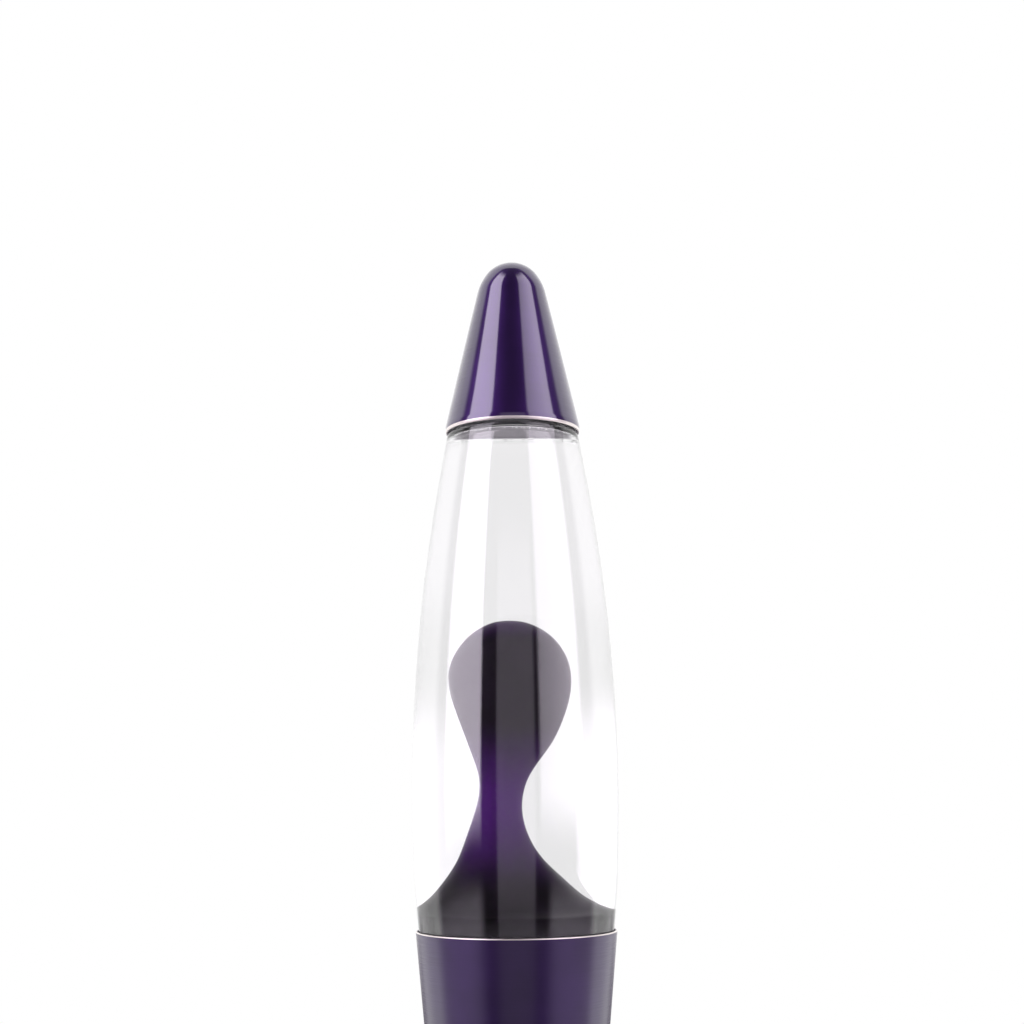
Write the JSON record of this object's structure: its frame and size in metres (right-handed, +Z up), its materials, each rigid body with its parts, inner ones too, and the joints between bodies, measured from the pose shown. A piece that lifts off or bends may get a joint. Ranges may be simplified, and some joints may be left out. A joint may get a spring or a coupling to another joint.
{
  "type": "lava lamp",
  "caption": "Rocket-shaped lava lamp: waisted metal base with a bulb, tapered glass bottle of clear liquid and dark wax, and a bullet cap that lifts off.",
  "frame": {"origin": "centre of the lamp on the surface it stands on, under its rubber feet", "axes": "+Z up along the axis that the lamp is turned about; +Y to the rear, where the cable grommet is; +X to the right"},
  "size_m": [0.1002, 0.1002, 0.4142],
  "materials": {
    "purple_aluminium": "satin purple anodised",
    "bottle_glass": "clear, polished",
    "clear_fluid": "clear water-based liquid",
    "purple_wax": "dark aubergine paraffin wax",
    "bright_steel": "bright",
    "zinc_steel": "zinc plated",
    "tinned_steel": "tinned",
    "solder": "dull solder",
    "tungsten": "drawn wire",
    "brass": "plain",
    "black_rubber": "matt",
    "phenolic": "moulded black phenolic",
    "black_plastic": "moulded",
    "white_plastic": "moulded",
    "black_vitreous": "black vitreous insulator",
    "bulb_glass": "thin blown glass",
    "brown_sleeve": "brown insulation",
    "blue_sleeve": "blue insulation",
    "green_sleeve": "green and yellow insulation"
  },
  "bodies": {
    "base": {"base_shell": "purple_aluminium", "bottle_seat": "bright_steel", "seat_gasket": "black_rubber", "holder_bridge": "zinc_steel", "bridge_screw_1": "zinc_steel", "bridge_screw_2": "zinc_steel", "bottom_cover": "black_plastic", "rubber_foot_1": "black_rubber", "rubber_foot_2": "black_rubber", "rubber_foot_3": "black_rubber", "rubber_foot_4": "black_rubber", "foot_screw_1": "zinc_steel", "foot_screw_2": "zinc_steel", "foot_screw_3": "zinc_steel", "foot_screw_4": "zinc_steel", "cable_grommet": "black_rubber", "threaded_nipple": "brass", "nipple_washer": "zinc_steel", "nipple_nut": "brass", "holder_base": "phenolic", "holder_shell": "phenolic", "holder_thread": "brass", "holder_contact": "brass", "holder_terminal_screw_1": "zinc_steel", "holder_terminal_screw_2": "zinc_steel", "terminal_block": "white_plastic", "block_screw_1": "zinc_steel", "block_screw_2": "zinc_steel", "block_screw_3": "zinc_steel", "live_lead": "brown_sleeve", "neutral_lead": "blue_sleeve", "earth_lead": "green_sleeve", "earth_tag": "brass", "earth_screw": "zinc_steel"},
    "bulb_tip": {"bulb_contact": "solder"},
    "bulb": {"bulb_insulator": "black_vitreous", "bulb_screw_cap": "brass", "bulb_glass": "bulb_glass", "bulb_stem": "bulb_glass", "bulb_lead_wire_1": "bright_steel", "bulb_lead_wire_2": "bright_steel", "bulb_filament": "tungsten"},
    "bottle": {"glass_bottle": "bottle_glass", "clear_liquid": "clear_fluid", "wax": "purple_wax", "wire_coil": "bright_steel", "crown_closure": "tinned_steel", "crown_liner": "white_plastic"},
    "cap": {"top_cap": "purple_aluminium"}
  },
  "joints": [
    {"name": "bottle_lift", "type": "slide", "parent": "base", "child": "bottle", "axis": [0, 0, 1], "range_m": [0, 0.06]},
    {"name": "cap_lift", "type": "slide", "parent": "bottle", "child": "cap", "axis": [0, 0, 1], "range_m": [0, 0.075]},
    {"name": "bulb_rise", "type": "slide", "parent": "base", "child": "bulb_tip", "axis": [0, 0, 1], "range_m": [0, 0.0142]},
    {"name": "bulb_turn", "type": "hinge", "parent": "bulb_tip", "child": "bulb", "pos_m": [0, 0, 0.029], "axis": [0, 0, 1], "range_deg": [0, 1800]}
  ],
  "couplings": [
    {"joint": "bulb_rise", "follows": "bulb_turn", "m_per_rad": 0.00044882}
  ]
}
